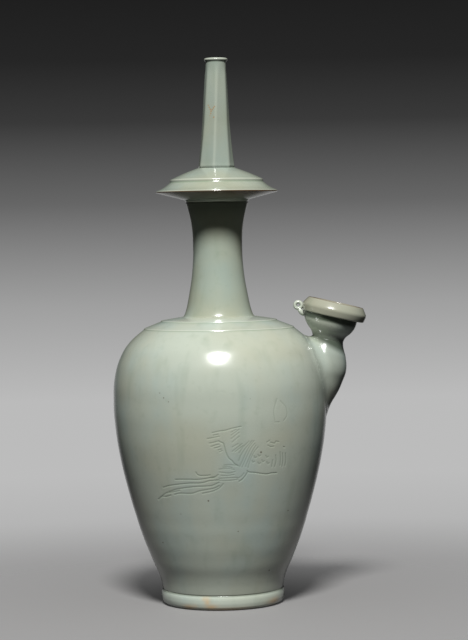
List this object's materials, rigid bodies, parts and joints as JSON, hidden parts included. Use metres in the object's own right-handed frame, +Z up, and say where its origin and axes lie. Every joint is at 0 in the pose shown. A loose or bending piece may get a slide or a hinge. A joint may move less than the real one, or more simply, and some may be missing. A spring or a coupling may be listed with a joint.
{
  "type": "celadon kundika",
  "caption": "Celadon kundika: a hollow ovoid bottle with a waisted neck, a stepped flange under a faceted sprinkling tube, and a cup-mouthed filling spout on its shoulder.",
  "frame": {"origin": "centre of the foot ring on the ground, on the vessel's axis", "axes": "+Z up along the vessel's axis, +X towards the filling spout, so the picture looks along +Y"},
  "size_m": [0.173, 0.1452, 0.37],
  "materials": {
    "celadon": "glossy grey-green celadon glaze with fine crackle",
    "foot_glaze": "thin pale celadon glaze with burnt orange patches"
  },
  "bodies": {
    "root": {"foot_ring": "foot_glaze", "body": "celadon", "neck": "celadon", "flange_plate": "celadon", "flange_dome": "celadon", "spout_tube": "celadon", "filler_bulb": "celadon", "filler_cup": "celadon", "rim_collar": "celadon", "lid_eyelet": "celadon"}
  },
  "joints": []
}
